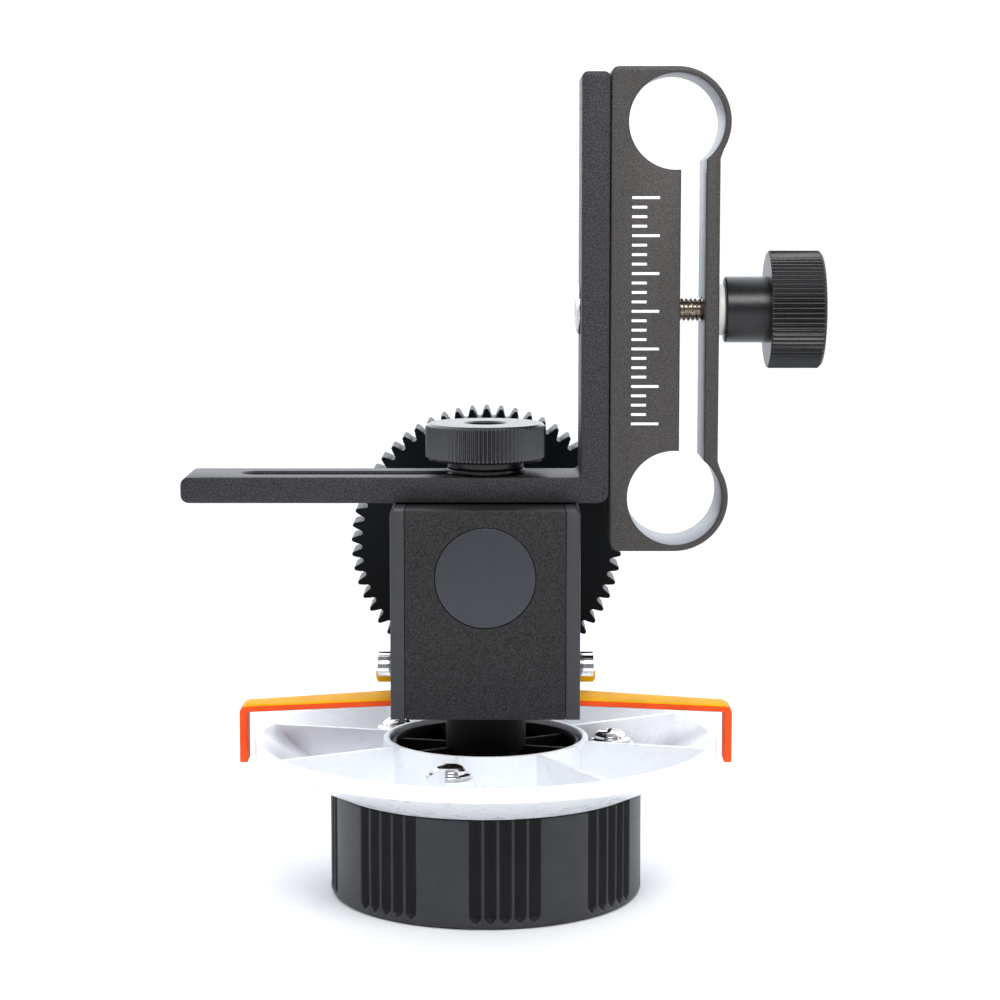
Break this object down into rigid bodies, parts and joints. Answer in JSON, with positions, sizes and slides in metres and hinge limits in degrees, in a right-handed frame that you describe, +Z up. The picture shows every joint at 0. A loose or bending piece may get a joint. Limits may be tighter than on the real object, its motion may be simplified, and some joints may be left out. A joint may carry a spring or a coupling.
{
  "type": "camera follow focus",
  "caption": "Geared follow focus: a fluted handwheel with a white marking disc turns a toothed drive gear, and an L bracket carries it on a clamp for 15 mm rods.",
  "frame": {"origin": "centre of the handwheel's outer face, which the object stands on", "axes": "+Z up along the handwheel's shaft, +X towards the rod clamp, +Y towards the drive gear, along its shaft; the rods run along Y"},
  "size_m": [0.1034, 0.0767, 0.1347],
  "materials": {
    "box_anodised": "fine grained black anodised",
    "cap_anodised": "smooth grey anodised",
    "bracket_anodised": "sand blasted dark grey anodised",
    "clamp_anodised": "sand blasted warm dark grey anodised",
    "knob_black": "satin black anodised",
    "wheel_plastic": "fine textured black",
    "gear_plastic": "smooth black",
    "white_plastic": "glossy white",
    "nylon": "satin natural nylon",
    "orange_paint": "fine powder coat",
    "steel": "bright turned",
    "bearing_steel": "ground",
    "chrome_screw": "polished nickel",
    "brass": "machined"
  },
  "bodies": {
    "gearbox": {"gearbox_core": "box_anodised", "side_plate_left": "box_anodised", "side_plate_right": "box_anodised", "rear_plate": "box_anodised", "shaft_cap": "cap_anodised", "side_screw_left": "chrome_screw", "side_screw_right": "chrome_screw", "sunk_screw_left": "steel", "sunk_screw_right": "steel", "rear_screw_1": "steel", "rear_screw_2": "steel", "rear_screw_3": "steel", "rear_screw_4": "steel", "guide_pin": "steel", "input_bearing_lower": "bearing_steel", "input_bearing_upper": "bearing_steel", "output_bearing_front": "bearing_steel", "output_bearing_rear": "bearing_steel", "index_bracket": "orange_paint", "index_screw_1": "steel", "index_screw_2": "steel"},
    "wheel": {"handwheel": "wheel_plastic", "wheel_cap": "wheel_plastic", "wheel_screw": "steel", "marking_disc": "white_plastic", "disc_screw_1": "chrome_screw", "disc_screw_2": "chrome_screw", "disc_screw_3": "chrome_screw", "input_shaft": "steel", "input_mitre_gear": "brass", "input_grub_screw": "steel", "shaft_spacer": "brass"},
    "drive": {"output_shaft": "steel", "output_mitre_gear": "brass", "output_grub_screw": "steel", "output_clip": "steel", "drive_gear": "gear_plastic", "gear_washer": "steel", "gear_screw": "steel"},
    "bracket": {"l_bracket": "bracket_anodised", "rod_clamp": "clamp_anodised", "clamp_mount_screw": "steel", "dowel_pin_1": "steel", "dowel_pin_2": "steel"},
    "lock_lift": {"lock_washer": "knob_black"},
    "lock_knob": {"lock_knob": "knob_black", "lock_screw": "steel"},
    "clamp_travel": {"clamp_washer": "nylon"},
    "clamp_knob": {"clamp_knob": "knob_black", "clamp_screw": "steel"}
  },
  "joints": [
    {"name": "wheel_turn", "type": "hinge", "parent": "gearbox", "child": "wheel", "pos_m": [0, 0, 0.02], "axis": [0, 0, 1], "continuous": true},
    {"name": "gear_turn", "type": "hinge", "parent": "gearbox", "child": "drive", "pos_m": [0, 0.03, 0.0541], "axis": [0, 1, 0], "continuous": true},
    {"name": "bracket_slide", "type": "slide", "parent": "gearbox", "child": "bracket", "axis": [1, 0, 0], "range_m": [-0.003, 0.029]},
    {"name": "lock_lift", "type": "slide", "parent": "gearbox", "child": "lock_lift", "axis": [0, 0, 1], "range_m": [0, 0.0016]},
    {"name": "lock_turn", "type": "hinge", "parent": "lock_lift", "child": "lock_knob", "pos_m": [0, 0, 0.07], "axis": [0, 0, 1], "range_deg": [0, 720]},
    {"name": "clamp_travel", "type": "slide", "parent": "bracket", "child": "clamp_travel", "axis": [1, 0, 0], "range_m": [0, 0.0021]},
    {"name": "clamp_turn", "type": "hinge", "parent": "clamp_travel", "child": "clamp_knob", "pos_m": [0.04, 0, 0.09605], "axis": [1, 0, 0], "range_deg": [0, 1080]}
  ],
  "couplings": [
    {"joint": "gear_turn", "follows": "wheel_turn", "ratio": 1},
    {"joint": "lock_lift", "follows": "lock_turn", "m_per_rad": 0.00012732},
    {"joint": "clamp_travel", "follows": "clamp_turn", "m_per_rad": 0.00011141}
  ]
}
